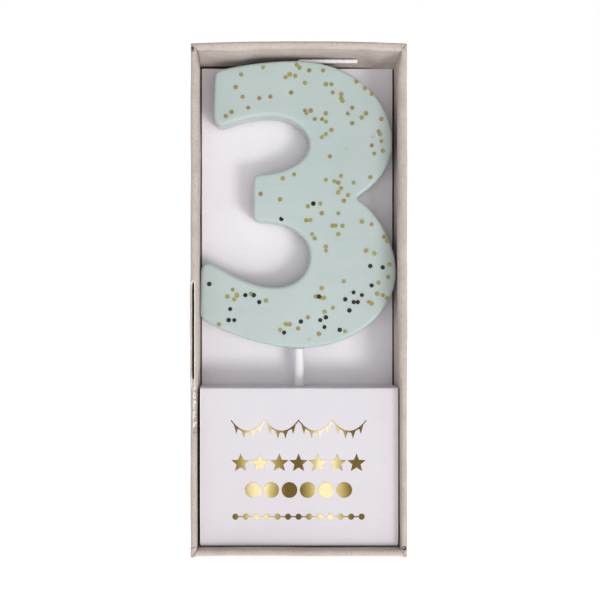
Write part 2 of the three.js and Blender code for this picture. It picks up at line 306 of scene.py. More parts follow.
foil = new_material("foil_gold", (0.50, 0.38, 0.14), 0.3, Metallic=1.0, Specular_IOR_Level=0.6)
foil_grain = cloud(foil, 1500, detail=3)
apart = foil.node_tree.nodes.new("ShaderNodeSeparateXYZ")
join(foil, foil.node_tree.nodes["coords"].outputs["Object"], apart.inputs["Vector"])
turns = math_node(foil, "MULTIPLY_ADD", apart.outputs["X"], 2 * math.pi / (FOIL_REFLECTION_BAND * MM), FOIL_REFLECTION_START)
wave = math_node(foil, "SINE", math_node(foil, "ADD", cloud(foil, 90, detail=2, distortion=0.5), turns))
foil_reflection = math_node(foil, "MULTIPLY_ADD", wave, 0.5, 0.5)
# Painted reflection: each band runs from dark brown to pale gold.
colour_from(foil, blend_colours(
    foil, "MULTIPLY", 0.5,
    ramp(foil, foil_reflection, (0.10, (0.13, 0.085, 0.025)), (0.45, (0.33, 0.25, 0.075)),
         (0.74, (0.52, 0.42, 0.19)), (0.95, (0.78, 0.66, 0.38))),
    ramp(foil, foil_grain, (0.35, (0.8, 0.78, 0.74)), (0.55, (1, 1, 1))),
))
roughness_from(foil, foil_grain, 0.22, 0.42)
bump_from(foil, (foil_grain, 0.25, 0.02), (foil_reflection, 0.1, 0.1))


def sequin_material(name, low, high, roughness, metallic):
    made = new_material(name, high, roughness, Metallic=metallic, Specular_IOR_Level=0.5)
    patch = cloud(made, 520, detail=3, distortion=1.5)
    grain = cloud(made, 3000, detail=2)
    colour_from(made, ramp(made, patch, (0.3, low), (0.66, high)))
    roughness_from(made, grain, roughness * 0.7, roughness * 1.4)
    bump_from(made, (patch, 0.25, 0.05), (grain, 0.15, 0.01))
    return made


sequin_gold = sequin_material("sequin_gold", (0.27, 0.21, 0.075), (0.40, 0.32, 0.12), 0.42, 0.35)
sequin_olive = sequin_material("sequin_olive", (0.23, 0.23, 0.07), (0.35, 0.35, 0.12), 0.42, 0.35)
sequin_orange = sequin_material("sequin_orange", (0.26, 0.18, 0.06), (0.40, 0.275, 0.11), 0.42, 0.35)
# Painted reflection: near black for the sequins that mirror something dark.
dark_reflection_sequin = sequin_material("dark_reflection_sequin", (0.003, 0.003, 0.003), (0.010, 0.010, 0.008), 0.3, 0.4)
sequin_sunk = sequin_material("sequin_under_wax", (0.38, 0.41, 0.33), (0.46, 0.50, 0.42), 0.5, 0.0)


# ---- mesh helpers ----
def mesh_piece(name, verts, faces, body, slot, *materials, weld=0.0, angle=40, picks=None):
    mesh = bpy.data.meshes.new(name)
    mesh.from_pydata([(x * MM, y * MM, z * MM) for x, y, z in verts], [], faces)
    for made in materials:
        mesh.materials.append(made)
    if picks is not None:
        mesh.polygons.foreach_set("material_index", picks)
    bm = bmesh.new()
    bm.from_mesh(mesh)
    if weld:
        bmesh.ops.remove_doubles(bm, verts=bm.verts, dist=weld * MM)
        bmesh.ops.dissolve_degenerate(bm, edges=bm.edges, dist=weld * MM)
    bmesh.ops.recalc_face_normals(bm, faces=bm.faces)
    bm.to_mesh(mesh)
    bm.free()
    mesh.validate()
    mesh.shade_smooth()
    mesh.set_sharp_from_angle(angle=math.radians(angle))
    piece = bpy.data.objects.new(name, mesh)
    scene.collection.objects.link(piece)
    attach(piece, body)
    return piece


def grid_faces(rows, columns, start=0, loop=False):
    faces = []
    for i in range(rows - 1):
        for j in range(columns if loop else columns - 1):
            a, b = start + i * columns + j, start + i * columns + (j + 1) % columns
            faces.append((a, b, b + columns, a + columns))
    return faces


def tube_faces(rows, around):
    """Rings of points, one after the other, with both ends closed."""
    ends = [tuple(range(around)), tuple(range((rows - 1) * around, rows * around))]
    return grid_faces(rows, around, loop=True) + ends


def sheet_faces(rows, columns):
    """Two like grids, one after the other, closed round their rim. Also gives the rim's face count."""
    size = rows * columns
    faces = grid_faces(rows, columns) + grid_faces(rows, columns, size)
    rim = list(range(columns)) + [r * columns + columns - 1 for r in range(1, rows)]
    rim += [(rows - 1) * columns + c for c in range(columns - 2, -1, -1)]
    rim += [r * columns for r in range(rows - 2, 0, -1)]
    faces += [(a, b, b + size, a + size) for a, b in zip(rim, rim[1:] + rim[:1])]
    return faces, len(rim)


def steps(a, b, size):
    """Evenly spaced values from a to b, no further apart than size."""
    count = max(1, int(math.ceil(abs(b - a) / size)))
    return [a + (b - a) * i / count for i in range(count + 1)]


def cut_hole(piece, x, y, z, radius, reach):
    """A round hole along Z, torn a little uneven."""
    mesh = bpy.data.meshes.new("cutter")
    ring, around = [], 72
    for k in range(around):
        a = 2 * math.pi * k / around
        r = radius * (1 + 0.02 * rough(math.cos(a) * 4, math.sin(a) * 4, 0, 1.0, 3.0))
        ring.append((x + r * math.cos(a), y + r * math.sin(a)))
    verts = [(px * MM, py * MM, (z + dz) * MM) for dz in (-reach, reach) for px, py in ring]
    mesh.from_pydata(verts, [], tube_faces(2, around))
    bm = bmesh.new()
    bm.from_mesh(mesh)
    bmesh.ops.recalc_face_normals(bm, faces=bm.faces)
    bm.to_mesh(mesh)
    bm.free()
    cutter = bpy.data.objects.new("cutter", mesh)
    scene.collection.objects.link(cutter)
    modifier = piece.modifiers.new("hole", "BOOLEAN")
    modifier.operation = "DIFFERENCE"
    modifier.solver = "EXACT"
    modifier.object = cutter
    bpy.context.view_layer.update()
    cut = bpy.data.meshes.new_from_object(piece.evaluated_get(bpy.context.evaluated_depsgraph_get()))
    piece.modifiers.clear()
    piece.data = cut
    bpy.data.objects.remove(cutter)


# ---- camera ----
CAMERA_BACK = 375.0
CAMERA_X = -12.0
CAMERA_UP = 83.0
LENS = 64.1
SENSOR = 36

camera = bpy.data.objects.new("camera", bpy.data.cameras.new("camera"))
scene.collection.objects.link(camera)
camera.location = (CAMERA_X * MM, (rim_y - CAMERA_BACK) * MM, (tray_z0 + CAMERA_UP) * MM)
camera.rotation_euler = (math.radians(90), 0, 0)
camera.data.lens = LENS
camera.data.sensor_width = SENSOR
camera.data.shift_x = 0.0587
camera.data.shift_y = 0.0333
camera.data.clip_start, camera.data.clip_end = 0.01, 20
scene.camera = camera


# ---- tray ----
# The board's own unevenness, the same for every wall so that the corners stay together.
def board_warp(x, y, z):
    dx = 0.14 * rough(x, y, z, 24, 1.3) + 0.05 * rough(x, y, z, 7, 4.1)
    dz = 0.14 * rough(x, y, z, 26, 7.7) + 0.05 * rough(x, y, z, 6, 9.2)
    dz += smooth(170, 178, z) * (0.38 - 0.75 * (x / tray_r) ** 2)
    corner = bell(abs(x) - tray_r + 0.6, 1.3) * bell(z - tray_z0, 1.6) * smooth(6, 0, y - rim_y)
    dz -= 0.6 * corner
    return dx, dz


def segment_distance(x, z, ax, az, bx, bz):
    t = ((x - ax) * (bx - ax) + (z - az) * (bz - az)) / ((bx - ax) ** 2 + (bz - az) ** 2)
    t = min(1.0, max(0.0, t))
    return math.hypot(x - ax - t * (bx - ax), z - az - t * (bz - az))


# Creases on the rim: where each one starts and ends, its depth and its width.
RIM_CREASES = [
    (tray_r - 2.6, tray_z1 - 0.7, tray_r - 0.4, tray_z1 - 2.0, 0.6, 0.24),
    (tray_r - 1.2, tray_z1 - 3.6, tray_r - 0.1, tray_z1 - 5.4, 0.12, 0.3),
    (tray_l + 0.2, tray_z0 + 3.1, tray_l + 1.7, tray_z0 + 3.6, 0.5, 0.22),
    (tray_r - 2.2, tray_z0 + 4.5, tray_r - 0.2, tray_z0 + 3.6, 0.2, 0.25),
    (tray_l + 0.3, tray_z1 - 4.6, tray_l + 2.1, tray_z1 - 3.7, 0.18, 0.25),
]


def rim_marks(x, z):
    """How deep the mitres, creases and holes go below the rim here."""
    depth = 0.0
    for cx in (tray_l, tray_r):
        for cz in (tray_z0, tray_z1):
            across = abs(abs(x - cx) - abs(z - cz)) / math.sqrt(2)
            near = smooth(4.5, 2.0, math.hypot(x - cx, z - cz))
            depth += 0.42 * bell(across, 0.22) * near
    for ax, az, bx, bz, deep, width in RIM_CREASES:
        depth += deep * bell(segment_distance(x, z, ax, az, bx, bz), width)
    for hx, hz, deep, width in RIM_HOLES:
        depth += deep * bell(math.hypot(x - hx, z - hz), width)
    return depth


def rim_depth(x, y, z):
    return rim_marks(x, z) + 0.04 * rough(x, y, z, 1.7, 2.2) + 0.09 * rough(x, y, z, 9, 3.3)


# The folded rim swells inwards by SWELL, most of all SWELL_DEPTH below it, and is flat again by SWELL_END.
SWELL, SWELL_DEPTH, SWELL_END = 1.15, 2.1, 9.5
INNER_STEPS = (
    0.05, 0.14, 0.28, 0.5, 0.75, 1.1, 1.5, 1.9, 2.3, 2.8,
    3.5, 4.4, 5.4, 6.6, 8.0, 9.6, 11.5, 14.0, 17.0, 20.0,
)
SPLIT_DEPTH = 4.0


def inner_skin(d, soft):
    """How far in the inner skin is, at depth d. Soft is how swollen the fold is, from 0 to 1."""
    sharp = R_RIM + math.sqrt(max(0.0, R_RIM ** 2 - (R_RIM - d) ** 2)) if d < R_RIM else WALL
    if d < SWELL_DEPTH:
        swollen = R_RIM + (WALL + SWELL - R_RIM) * math.sqrt(1 - (1 - d / SWELL_DEPTH) ** 2)
    else:
        swollen = WALL + SWELL * smooth(SWELL_END, SWELL_DEPTH, d)
    return sharp + (swollen - sharp) * soft


def wall_section(slit=0.0, lip=0.0, soft=0.0):
    """(u, d) round the folded wall, from the outer skin over the rim to the inner skin and back inside."""
    points = [(0.0, d) for d in steps(DEPTH, R_RIM, 1.6)]
    for k in range(1, 8):
        a = math.pi + math.pi * k / 16
        points.append((R_RIM + R_RIM * math.cos(a), R_RIM + R_RIM * math.sin(a)))
    deep = SPLIT_DEPTH * slit
    points += [(R_RIM - slit, -lip), (R_RIM - slit * 0.8, deep)]
    points += [(R_RIM + slit * 0.8, deep), (R_RIM + slit, 0.0)]
    points += [(max(inner_skin(d, soft), R_RIM + slit), d) for d in INNER_STEPS]
    points += [(inner_skin(DEPTH, soft), DEPTH)]
    points += [(inner_skin(d, soft) - BOARD, d) for d in (DEPTH, 17.0, 11.5, 8.0, 5.4, 3.5, 2.6)]
    points += [(R_RIM + 0.3, BOARD + 0.9), (R_RIM, BOARD + 0.75 + deep), (R_RIM - 0.3, BOARD + 0.9)]
    points += [(BOARD, d) for d in steps(R_RIM + 0.9, DEPTH, 6.0)]
    return points


# Heights of the split and of the torn edge in the left rim.
SLIT_FROM, SLIT_TO = 61.5, 96.4
TEAR_FROM, TEAR_TO = 41.5, 61.0


def slit_bulge(z):
    return 0.30 * smooth(SLIT_FROM - 4, SLIT_FROM + 5, z) * smooth(SLIT_TO + 4, SLIT_TO - 5, z)


def softness(side, x, z):
    """How swollen a wall's fold is at this place."""
    if side == "top":
        return 0.42 * smooth(tray_r - 4, tray_r - 12, abs(x)) + 0.1
    if side == "bottom":
        return 0.12
    swollen = smooth(shelf_hi[2] - 2, shelf_hi[2] + 8, z) * smooth(tray_z1 - 1.5, tray_z1 - 7, z)
    return swollen * (1.0 if side == "right" else 0.85) * (0.94 + 0.12 * rough(x, 0, z, 30, 3.7))


def top_fall(x, d):
    """How far the top wall's inner skin sags: not over the crown, and over the wick only behind it."""
    left = smooth(-13, -22, x)
    right = smooth(24, 29, x)
    behind = smooth(8, 14, x) * (1 - right)
    slope = d / DEPTH
    return left * (0.45 + 0.75 * slope) + right * (0.7 + 1.4 * slope) + behind * 1.9 * smooth(16.4, 20.5, d)


def corner_gap(side, s, u):
    """Half of the seam between two walls at a corner. The top left one has opened."""
    opened = (side == "left" and s > 0) or (side == "top" and s < 0)
    return 0.03 + (0.42 * smooth(1.0, 1.9, u) if opened else 0.0)


def tray_wall(side, half, place):
    """One double wall, swept along its length. Place turns (u, d, s) into x, y and z."""
    near = steps(-half, -half + 7, 0.22)
    stations = near + steps(-half + 7, half - 7, 0.55)[1:-1] + [-s for s in reversed(near)]
    plain = wall_section()
    verts, count = [], len(plain)
    for s in stations:
        x_here, _, z_here = place(0, 0, s)
        slit = lip = 0.0
        if side == "left":
            opened = smooth(SLIT_FROM, SLIT_FROM + 1.6, z_here) * smooth(SLIT_TO, SLIT_TO - 1.6, z_here)
            slit = 0.34 * opened * (1 + 0.2 * rough(z_here, 0, 0, 3.0, 5.0))
            lip = 0.22 * opened
        for u, d in wall_section(slit, lip, softness(side, x_here, z_here)):
            at = s / half * (half - corner_gap(side, s, u) - min(u, half))
            x, y, z = place(u, d, at)
            dx, dz = board_warp(x, y, z)
            shallow = smooth(2.6, 0.8, d)
            if shallow > 0:
                y += shallow * rim_depth(x, y, z)
            inward = u > R_RIM
            if side == "top" and inward:
                z -= top_fall(x, d) + 0.08 * rough(x, y, 0, 12, 6.0)
            if side == "left":
                if u < R_RIM and d < 6:
                    x -= slit_bulge(z) * smooth(6, 1.5, d)
                torn = smooth(TEAR_FROM, TEAR_FROM + 3, z) * smooth(TEAR_TO, TEAR_TO - 3, z)
                if torn > 0 and u > 0.9 and d < 6:
                    amount = torn * smooth(0.9, 1.5, u) * smooth(6, 2.5, d)
                    ragged = 0.8 + 1.7 * rough(0, 0, z, 1.9, 11.0) + 1.0 * rough(0, y, z, 0.8, 5.0)
                    x -= amount * min(max(ragged, 0.1), max(0.0, u - 0.55))
                    y += amount * max(-0.1, 0.6 + 1.8 * rough(x, y, z, 1.3, 12.0))
            if side in ("left", "right") and inward and d > 8:
                reach = wax_hi[0] + 0.12
                x = min(x + dx, -reach) - dx if side == "left" else max(x + dx, reach) - dx
            verts.append((x + dx, y, z + dz))
    outer_count = next(k for k, (u, d) in enumerate(plain) if u > R_RIM and d > 2.5)
    slit_at = len(steps(DEPTH, R_RIM, 1.6)) + 7
    picks = []
    for s in stations[:-1]:
        z_here = place(0, 0, s)[2]
        split = side == "left" and SLIT_FROM < z_here < SLIT_TO
        torn = side == "left" and TEAR_FROM + 2 < z_here < TEAR_TO - 2
        for j, (u, d) in enumerate(plain):
            # The split's faces take the near-black board: painted shade.
            if split and slit_at <= j < slit_at + 3:
                picks.append(2)
            elif torn and u > 1.15 and 0.04 < d < 1.6:
                picks.append(3)
            else:
                # The inner skin below the rim takes the lighter board copy: painted light.
                picks.append(0 if j < outer_count else 1)
    piece = mesh_piece(f"tray_wall_{side}", verts, tube_faces(len(stations), count), "tray", "board",
                       board, board_lit_copy, shade_board, torn_paper, weld=0.004, angle=55, picks=picks + [0, 0])
    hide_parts(f"tray_{side}_wall")


half_h = (tray_z1 - tray_z0) / 2
tray_wall("left", half_h, lambda u, d, s: (tray_l + u, rim_y + d, mid_z + s))
tray_wall("right", half_h, lambda u, d, s: (tray_r - u, rim_y + d, mid_z + s))
tray_wall("bottom", tray_r, lambda u, d, s: (s, rim_y + d, tray_z0 + u))
tray_wall("top", tray_r, lambda u, d, s: (s, rim_y + d, tray_z1 - u))


# The raised paper lip round the split in the left rim, a hairpin open at its lower end.
def split_lip():
    centre, half, r = tray_l + R_RIM - 0.12, 0.48, 0.18
    low, high = SLIT_FROM - 2.6, SLIT_TO - 0.3
    path = [(centre - half, z) for z in steps(low, high, 0.5)]
    for a in steps(0.2, math.pi - 0.2, 0.3):
        path.append((centre - half * math.cos(a), high + 1.3 * half * math.sin(a)))
    path += [(centre + half, z) for z in steps(high, low, 0.5)]
    verts, around = [], 12
    for k, (x, z) in enumerate(path):
        dx, dz = board_warp(x, rim_y, z)
        a, b = path[max(k - 1, 0)], path[min(k + 1, len(path) - 1)]
        along = Vector((b[0] - a[0], 0, b[1] - a[1])).normalized()
        across = Vector((along.z, 0, -along.x))
        end = smooth(0, 2.5, min(k, len(path) - 1 - k) * 0.5)
        y = rim_y + rim_depth(x, rim_y, z) + 0.06 + 0.12 * (1 - end)
        wave = 0.05 * rough(0, 0, z, 2.5, 8.0)
        bulge = slit_bulge(z) * (x < centre)
        for j in range(around):
            turn = 2 * math.pi * j / around
            rr = r * (0.55 + 0.45 * end) * (1 + 0.15 * rough(x, turn, z, 1.1, 3.0))
            v = Vector((x + dx + wave - bulge, y, z + dz)) + across * (rr * math.cos(turn))
            verts.append((v.x, v.y + rr * math.sin(turn), v.z))
    mesh_piece("rim_split_lip", verts, tube_faces(len(path), around), "tray", "board", torn_paper, angle=60)


split_lip()


def in_shaded_gap(xs, zs, k):
    """Is this front face in the fold between the floor of the tray and a wall, round the insert, where it
    takes the near-black board as painted shade?
    """
    row, column = divmod(k, len(xs) - 1)
    x, z = (xs[column] + xs[column + 1]) / 2, (zs[row] + zs[row + 1]) / 2
    under = 0.3
    return abs(x) > card_hi[0] - 0.35 or z < card_lo[2] + under or z > card_hi[2] - under


def edged_steps(a, b, size):
    """Steps of this size, with fine ones in the last 3 mm at both ends."""
    return sorted(set(steps(a, a + 3, 0.15) + steps(a + 3, b - 3, size) + steps(b - 3, b, 0.15)))


# The tray's back: one sheet with folded, rounded edges and a pressed line just inside them.
def tray_back():
    xs, zs = edged_steps(tray_l, tray_r, 1.5), edged_steps(tray_z0, tray_z1, 1.8)
    fold = 0.45
    verts = []
    for layer in (0, 1):
        for z in zs:
            for x in xs:
                edge = min(x - tray_l, tray_r - x, z - tray_z0, tray_z1 - z)
                y = base_y if layer == 0 else back_y
                if layer == 1:
                    y -= 0.0 if edge > fold else fold - math.sqrt(max(0.0, fold ** 2 - (fold - edge) ** 2))
                    y -= 0.10 * bell(edge - 1.4, 0.3)
                    wide, fine = rough(x, 0, z, 32, 2.0), abs(rough(x, 0, z, 5, 3.0))
                    y -= 0.10 * smooth(1.5, 12, edge) * (0.5 + 0.5 * wide) + 0.02 * fine
                dx, dz = board_warp(x, y, z)
                verts.append((x + dx, min(y, back_y), z + dz))
    faces, _ = sheet_faces(len(zs), len(xs))
    # The strip of the back round the insert takes the near-black board: painted shade.
    picks = [int(in_shaded_gap(xs, zs, k)) for k in range((len(zs) - 1) * (len(xs) - 1))]
    picks += [0] * (len(faces) - len(picks))
    piece = mesh_piece("tray_back_sheet", verts, faces, "tray", "board", board, shade_board,
                       angle=50, picks=picks)
    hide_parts("tray_back")


tray_back()
for name in ("tray_bottom_left_tab", "tray_bottom_right_tab", "tray_top_left_tab", "tray_top_right_tab"):
    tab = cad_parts[name]
    # The tabs take the lighter board copy: painted light.
    tab.data.materials.clear()
    tab.data.materials.append(board_lit_copy)


# ---- card insert ----
HALF_CARD = card_hi[0]
LABEL_CORNER = 1.0


def label_bow(x, z):
    """How far the label panel stands forward of flat."""
    up = (z - label_lo[2]) / (label_hi[2] - label_lo[2])
    up = min(1.0, max(0.0, up))
    return 0.28 * math.sin(math.pi * up) * (0.55 + 0.45 * math.cos(math.pi * x / (2 * HALF_CARD))) * 0.6


def card_bow(x, z):
    """How far the back panel stands forward of flat, behind the candle."""
    up = smooth(shelf_hi[2], shelf_hi[2] + 20, z)
    top = smooth(card_hi[2] - 30, card_hi[2], z)
    edge = smooth(HALF_CARD - 9, HALF_CARD, abs(x))
    return up * (0.10 + 0.12 * rough(x, 0, z, 34, 5.0)) + 0.35 * edge * top + 0.08 * up * edge


def folded_line(corners, radius, size):
    """Points along a folded sheet's middle line, with the unit normal at each."""
    line = []
    for k, corner in enumerate(corners):
        p = Vector(corner)
        if k in (0, len(corners) - 1):
            line.append(p)
            continue
        before = (Vector(corners[k - 1]) - p).normalized()
        after = (Vector(corners[k + 1]) - p).normalized()
        centre = p + radius * (before + after)
        for j in range(9):
            a = (math.pi / 2) * j / 8
            line.append(centre - radius * (after * math.cos(a) + before * math.sin(a)))
    full = [line[0]]
    for a, b in zip(line, line[1:]):
        for t in steps(0, 1, size / max((b - a).length, 1e-6))[1:]:
            full.append(a.lerp(b, t))
    normals = []
    for k in range(len(full)):
        d = (full[min(k + 1, len(full) - 1)] - full[max(k - 1, 0)]).normalized()
        normals.append(Vector((-d.y, d.x)))
    return full, normals


def insert_card():
    back_mid, bottom_mid = (card_lo[1] + card_hi[1]) / 2, card_lo[2] + CARD / 2
    front_mid, shelf_mid = (label_lo[1] + label_hi[1]) / 2, shelf_hi[2] - CARD / 2
    flap_mid = (flap_lo[1] + flap_hi[1]) / 2
    corners = [(back_mid, card_hi[2]), (back_mid, bottom_mid), (front_mid, bottom_mid),
               (front_mid, shelf_mid), (flap_mid, shelf_mid), (flap_mid, flap_lo[2])]
    line, normals = folded_line(corners, 0.38, 1.6)
    xs = [-1] + steps(-0.991, 0.991, 0.028) + [1]
    verts = []
    for side in (1, -1):
        for p, n in zip(line, normals):
            y, z = p.x + side * n.x * CARD / 2, p.y + side * n.y * CARD / 2
            low = z - label_lo[2]
            half = HALF_CARD
            if p.x < front_mid + 0.6 and low < LABEL_CORNER:
                half -= LABEL_CORNER - math.sqrt(max(0.0, LABEL_CORNER ** 2 - (LABEL_CORNER - low) ** 2))
            narrow = 0.4 * smooth(front_mid + 9, front_mid + 2, p.x)
            for t in xs:
                x = t * half + narrow * smooth(0.4, -1, t)
                yy, zz = y, z
                if p.x < front_mid + 0.01:
                    yy -= label_bow(x, z)
                elif p.x > back_mid - 0.01:
                    yy -= card_bow(x, z)
                if p.y > shelf_mid - 0.3 and p.x < flap_mid:
                    along = (p.x - front_mid) / (flap_mid - front_mid)
                    zz -= 0.16 * math.sin(math.pi * min(1.0, max(0.0, along))) * math.cos(math.pi * t / 2)
                verts.append((x + 0.05 * rough(0, y, z, 11, 6.0) * abs(t), yy, zz))
    rows, columns = len(line), len(xs)
    faces, edges = sheet_faces(rows, columns)
    panels = (rows - 1) * (columns - 1)
    # The side the label panel shows takes the darker card copy, painted shade; its outer strips take the
    # cut-edge card.
    front_side = [2 if k % (columns - 1) in (0, columns - 2) else 1 for k in range(panels)]
    picks = front_side + [0] * panels + [2] * edges
    piece = mesh_piece("insert_folded_card", verts, faces, "insert", "card",
                       card_plain, card_shaded_copy, card_cut, angle=50, picks=picks)
    hole = (pick_hi[0] - pick_lo[0]) / 2 + 0.3
    cut_hole(piece, PICK_X, MID_Y, shelf_mid, hole, 1.4)
    piece.data.shade_smooth()
    piece.data.set_sharp_from_angle(angle=math.radians(50))
    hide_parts("insert_back_panel", "insert_bottom_panel", "insert_glue_flap", "insert_shelf_panel",
                "insert_label_panel")


insert_card()


# ---- foil ornament ----
def inset(points, by):
    """The closed outline moved inwards along its normals."""
    pts = np.array(points, float)
    area = 0.5 * np.sum(pts[:, 0] * np.roll(pts[:, 1], -1) - np.roll(pts[:, 0], -1) * pts[:, 1])
    before, after = pts - np.roll(pts, 1, 0), np.roll(pts, -1, 0) - pts
    before /= np.maximum(np.linalg.norm(before, axis=1, keepdims=True), 1e-9)
    after /= np.maximum(np.linalg.norm(after, axis=1, keepdims=True), 1e-9)
    way = before + after
    way /= np.maximum(np.linalg.norm(way, axis=1, keepdims=True), 1e-9)
    normal = np.stack([-way[:, 1], way[:, 0]], 1) * (1 if area > 0 else -1)
    stretch = np.clip(np.abs((normal * np.stack([-before[:, 1], before[:, 0]], 1)).sum(1)), 0.45, 1)
    return pts + normal * (by / stretch)[:, None]


def foil_shapes(name, outlines, *nodes, centres=None):
    """Thin stamped shapes that follow the label, with a bevelled edge, and raised centres if given."""
    verts, faces = [], []
    label_front = label_lo[1]
    for k, outline in enumerate(outlines):
        inner = inset(outline, 0.11)
        loops = [(outline, 0.04), (outline, -0.02), (inner.tolist(), -0.065)]
        start = len(verts)
        n = len(outline)
        for loop, lift in loops:
            for x, z in loop:
                verts.append((x, label_front - label_bow(x, z) + lift, z))
        faces += grid_faces(len(loops), n, start, loop=True)
        last = start + (len(loops) - 1) * n
        if centres:
            x, z = centres[k]
            verts.append((x, label_front - label_bow(x, z) - 0.11, z))
            top = len(verts) - 1
            faces += [(last + i, last + (i + 1) % n, top) for i in range(n)]
        else:
            faces.append(tuple(range(last, last + n)))
    piece = mesh_piece(name, verts, faces, "insert", "foil", foil, angle=12)
    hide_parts(*nodes)


def centre_of(node):
    """X, z and half the width."""
    lo, hi = box_mm(node)
    return (lo[0] + hi[0]) / 2, (lo[2] + hi[2]) / 2, (hi[0] - lo[0]) / 2


def circle(x, z, r, count):
    turns = [2 * math.pi * k / count for k in range(count)]
    return [(x + r * math.cos(a), z + r * math.sin(a)) for a in turns]


def nodes_named(start):
    return [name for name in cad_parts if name.startswith(start)]


STAR_WAIST = 0.44
stars, star_centres = [], []
for name in nodes_named("foil_star_"):
    x, _, half = centre_of(name)
    r = half / math.cos(math.radians(18))
    z = box_mm(name)[1][2] - r
    star = []
    for k in range(10):
        reach, a = r * (STAR_WAIST if k % 2 else 1), math.pi / 2 + k * math.pi / 5
        star.append((x + reach * math.cos(a), z + reach * math.sin(a)))
    stars.append(star)
    star_centres.append((x, z))
foil_shapes("foil_stars", stars, *nodes_named("foil_star_"), centres=star_centres)

dots = [circle(*centre_of(name), 40) for name in nodes_named("foil_dot_")]
foil_shapes("foil_dots", dots, *nodes_named("foil_dot_"))

# A string in even swags with small pennants hanging from it.
SWAGS = 4
garland_lo, garland_hi = box_mm("foil_garland")
swag = (garland_hi[0] - garland_lo[0]) / SWAGS


def string_at(x):
    t = ((x - garland_lo[0]) % swag) / swag
    sag = garland_hi[2] - garland_lo[2] - 0.7
    return garland_hi[2] - 0.7 - 4 * sag * t * (1 - t)


def garland():
    lower = [(x, string_at(x)) for x in steps(garland_lo[0], garland_hi[0] - 1e-6, 0.5)]
    outlines = [lower + [(x, z + 0.62) for x, z in lower[::-1]]]
    for i in range(SWAGS):
        for t in (0.16, 0.39, 0.61, 0.84):
            x = garland_lo[0] + (i + t) * swag
            a, b = x - 0.95, x + 0.95
            za, zb = string_at(a) + 0.1, string_at(b) + 0.1
            outlines.append([(a, za), ((a + x) / 2, (za - 1.1 + zb) / 2 - 0.35), (x, (za + zb) / 2 - 2.6),
                             ((b + x) / 2, (zb - 1.1 + za) / 2 - 0.35), (b, zb), (x, (za + zb) / 2)])
    return outlines


foil_shapes("foil_bunting", garland(), "foil_garland")

BEADS = 13
bead_lo, bead_hi = box_mm("foil_bead_line")
bead_r = (bead_hi[2] - bead_lo[2]) / 2
bead_z = (bead_lo[2] + bead_hi[2]) / 2
bead_run = bead_hi[0] - bead_lo[0] - 2 * bead_r
gap = bead_run / (BEADS - 1)
beads = []
for i in range(BEADS):
    x = bead_lo[0] + bead_r + i * bead_run / (BEADS - 1)
    beads.append(circle(x, bead_z, bead_r, 24))
    if i:
        a, b = x - gap + bead_r - 0.05, x - bead_r + 0.05
        beads.append([(a, bead_z - 0.2), (b, bead_z - 0.2), (b, bead_z + 0.2), (a, bead_z + 0.2)])
foil_shapes("foil_beads", beads, "foil_bead_line")


# ---- wax figure ----
# Drawn on a field 70.8 wide and 103.6 high with its foot at 0, and scaled to the candle's own box. A row
# goes on from the last one's end: one point is a line, two are a quadratic curve and three a cubic one.
DRAWN_W, DRAWN_H = 70.8, 103.6
EDGE_R = 1.2
FIGURE = [
    ((-30.1, 99.9), (-27.9, 100.4)),
    ((-19.3, 102.4), (-10.2, 103.6), (-0.7, 103.6)),
    ((18.8, 103.6), (34.1, 90.4), (34.1, 74.3)),
    ((34.1, 66.5), (29.8, 60), (21.6, 54.5)),
    ((21.6, 53.6),),
    ((28.1, 49.8), (35.4, 38.5), (35.4, 27.3)),
    ((35.4, 13.1), (20.5, 0), (1.4, 0)),
    ((-11.2, 0), (-24.2, 4.4), (-33.2, 9.3)),
    ((-35.4, 10.6), (-35.4, 13.2)),
    ((-35.1, 26.8),),
    ((-35, 30.2), (-33.6, 31.4), (-30.8, 30.1)),
    ((-25.9, 27.7), (-17.7, 21.9), (-8.7, 21.9)),
    ((-1, 21.9), (4.3, 26.5), (4.3, 33.5)),
    ((4.3, 40.1), (-2.7, 45.6), (-13.4, 45.6)),
    ((-16.3, 45.6), (-16.3, 48.2)),
    ((-16.2, 60),),
    ((-16.2, 62.5), (-13.9, 62.6)),
    ((-6.7, 63), (4.1, 66.2), (4.1, 73.6)),
    ((4.1, 79.6), (-2.8, 83.7), (-10.2, 83.7)),
    ((-15.7, 83.7), (-21.7, 82.2), (-26.4, 80.4)),
    ((-29.9, 79.1), (-30.7, 83.5)),
    ((-30.2, 97.6),),
]


def figure_x(x):
    return (wax_lo[0] + wax_hi[0]) / 2 + x * (wax_hi[0] - wax_lo[0]) / DRAWN_W


def figure_z(z):
    return wax_lo[2] + z * (wax_hi[2] - wax_lo[2]) / DRAWN_H


def figure_outline(size):
    at = FIGURE[-1][-1]
    points = []
    for controls in FIGURE:
        ends = [at, *controls]
        length = sum(math.dist(a, b) for a, b in zip(ends, ends[1:]))
        n = max(2, int(length / size))
        for i in range(n):
            t = i / n
            level = [Vector(p) for p in ends]
            while len(level) > 1:
                level = [a.lerp(b, t) for a, b in zip(level, level[1:])]
            points.append((figure_x(level[0].x), figure_z(level[0].y)))
        at = controls[-1]
    return points


def rounded(points, rounds):
    """The outline's tight inner corners eased a little, as hot wax leaves them."""
    pts = np.array(points, float)
    for _ in range(rounds):
        pts = 0.5 * pts + 0.25 * (np.roll(pts, 1, 0) + np.roll(pts, -1, 0))
    return pts


